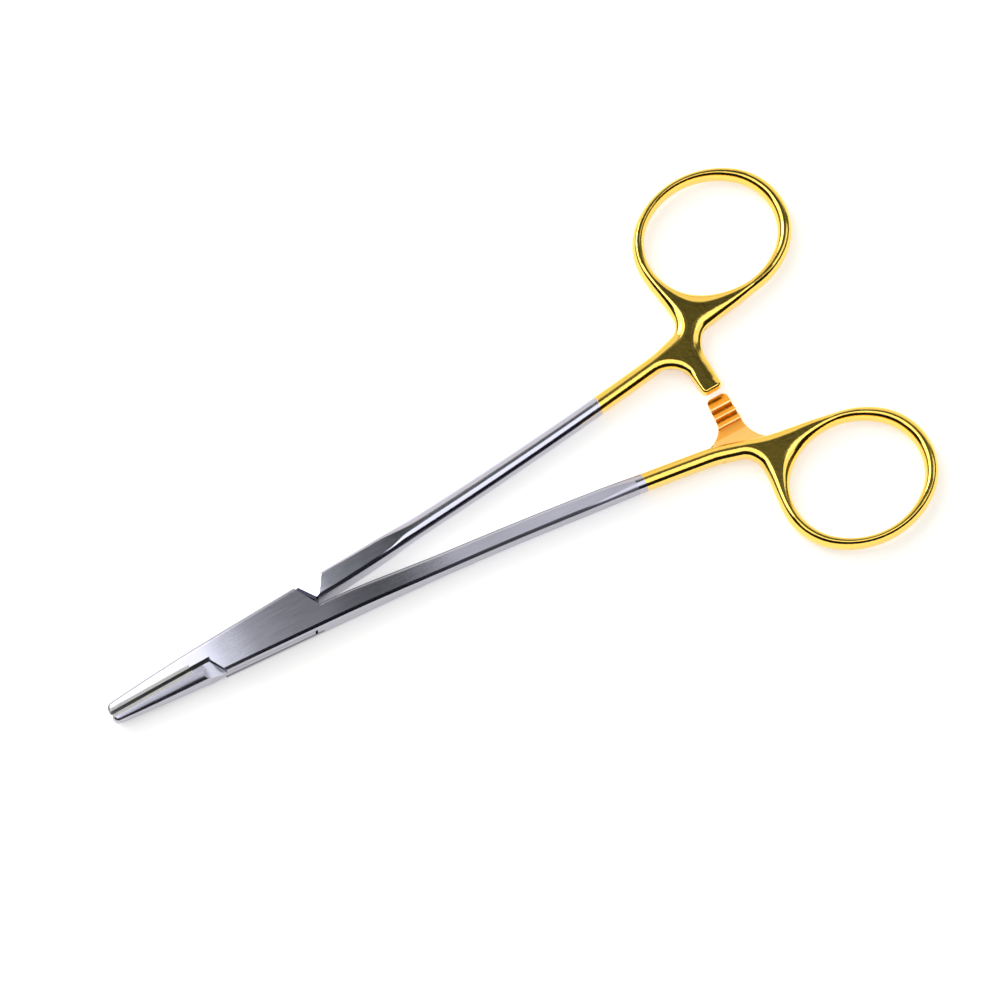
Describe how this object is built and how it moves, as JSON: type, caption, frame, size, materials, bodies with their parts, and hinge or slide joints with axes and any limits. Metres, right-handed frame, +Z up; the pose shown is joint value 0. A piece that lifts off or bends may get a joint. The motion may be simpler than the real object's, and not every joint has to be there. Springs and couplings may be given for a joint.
{
  "type": "surgical needle holder",
  "caption": "Ring-handled surgical needle holder with a box lock, straight blunt jaws with gripping inserts, slim shanks, gold-plated finger rings and a toothed ratchet.",
  "frame": {"origin": "on the pivot axis, at the underside of the box lock", "axes": "+X from the pivot to the finger rings, along the line midway between the two shanks; +Y to the ring of the tongue half; +Z up, along the pivot axis"},
  "size_m": [0.1605, 0.0822, 0.006],
  "materials": {
    "satin_steel": "satin stainless steel, with mirror gold plating on the rear shanks, ratchet and rings",
    "pin_steel": "satin, ground flush",
    "hard_insert": "fine ground hard-metal strip with a cross-cut gripping face"
  },
  "bodies": {
    "box_side": {"box_half": "satin_steel", "pivot_pin": "pin_steel", "box_jaw_insert": "hard_insert"},
    "tongue_side": {"tongue_half": "satin_steel", "tongue_jaw_insert": "hard_insert"}
  },
  "joints": [
    {"name": "box_lock", "type": "hinge", "parent": "box_side", "child": "tongue_side", "pos_m": [0, 0, 0.003], "axis": [0, 0, 1], "range_deg": [-1.1, 40]}
  ]
}
